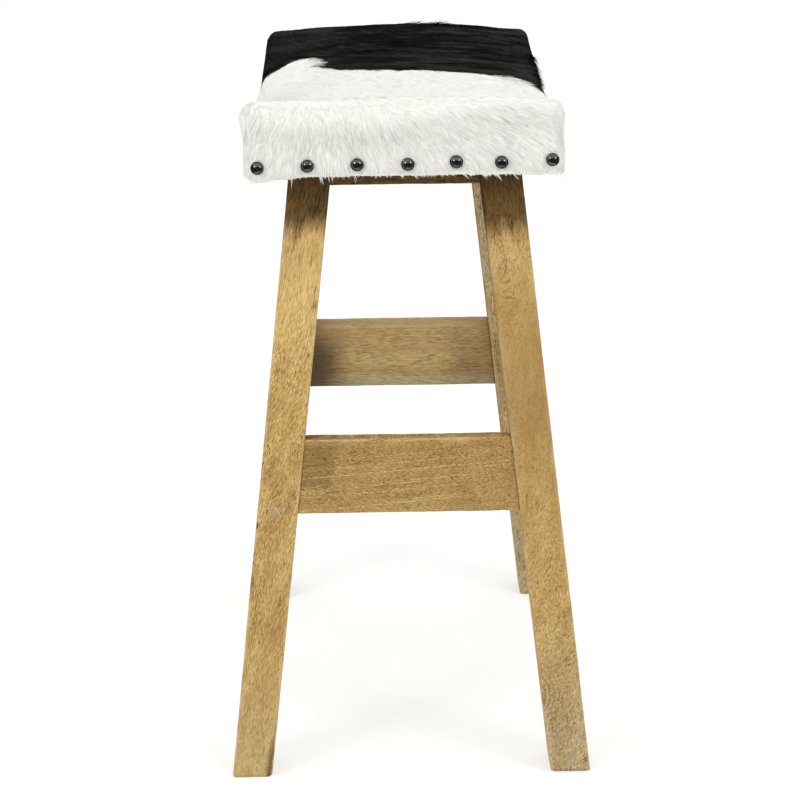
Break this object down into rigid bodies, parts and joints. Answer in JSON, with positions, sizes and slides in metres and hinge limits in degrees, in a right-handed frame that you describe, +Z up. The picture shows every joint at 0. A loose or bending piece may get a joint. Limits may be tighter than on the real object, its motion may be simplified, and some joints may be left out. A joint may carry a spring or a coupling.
{
  "type": "bar stool",
  "caption": "Bar stool with splayed square wooden legs, wide stretchers and a saddle-shaped seat covered in black and white cowhide with domed upholstery nails.",
  "frame": {"origin": "on the floor, under the middle of the seat", "axes": "+X across the short end of the seat to the right as the picture shows it, +Y along the seat away from the viewer, +Z up"},
  "size_m": [0.41, 0.5, 0.7834],
  "materials": {
    "rough_wood": "rough-sawn mango wood, waxed, with open pores and worn edges",
    "dark_wood": "dark brown stained mango wood",
    "frame_wood": "planed unfinished wood",
    "plywood": "bent plywood, sanded",
    "dowel_wood": "turned beech",
    "dust_cloth": "black spun-bonded cloth",
    "foam": "cut upholstery foam",
    "wadding": "soft polyester wadding",
    "cowhide": "hair-on cowhide, white with a black patch, short glossy coat",
    "dark_nail_metal": "polished gunmetal",
    "screw_steel": "zinc-plated steel"
  },
  "bodies": {
    "root": {"front_left_leg": "rough_wood", "front_right_leg": "rough_wood", "rear_left_leg": "rough_wood", "rear_right_leg": "rough_wood", "front_top_rail": "dark_wood", "rear_top_rail": "dark_wood", "left_top_rail": "dark_wood", "right_top_rail": "dark_wood", "front_stretcher": "rough_wood", "rear_stretcher": "rough_wood", "left_stretcher": "rough_wood", "right_stretcher": "rough_wood", "front_left_corner_block": "frame_wood", "front_right_corner_block": "frame_wood", "rear_left_corner_block": "frame_wood", "rear_right_corner_block": "frame_wood", "front_seat_rail": "frame_wood", "rear_seat_rail": "frame_wood", "left_seat_rail": "frame_wood", "right_seat_rail": "frame_wood", "front_batten": "frame_wood", "rear_batten": "frame_wood", "seat_deck": "plywood", "dust_cover": "dust_cloth", "foam_pad": "foam", "wadding": "wadding", "cowhide_cover": "cowhide", "front_nails": "dark_nail_metal", "rear_nails": "dark_nail_metal", "left_nails": "dark_nail_metal", "right_nails": "dark_nail_metal", "rail_dowels": "dowel_wood", "block_screws": "screw_steel", "seat_screws": "screw_steel", "frame_screws": "screw_steel", "deck_nails": "screw_steel"}
  },
  "joints": []
}
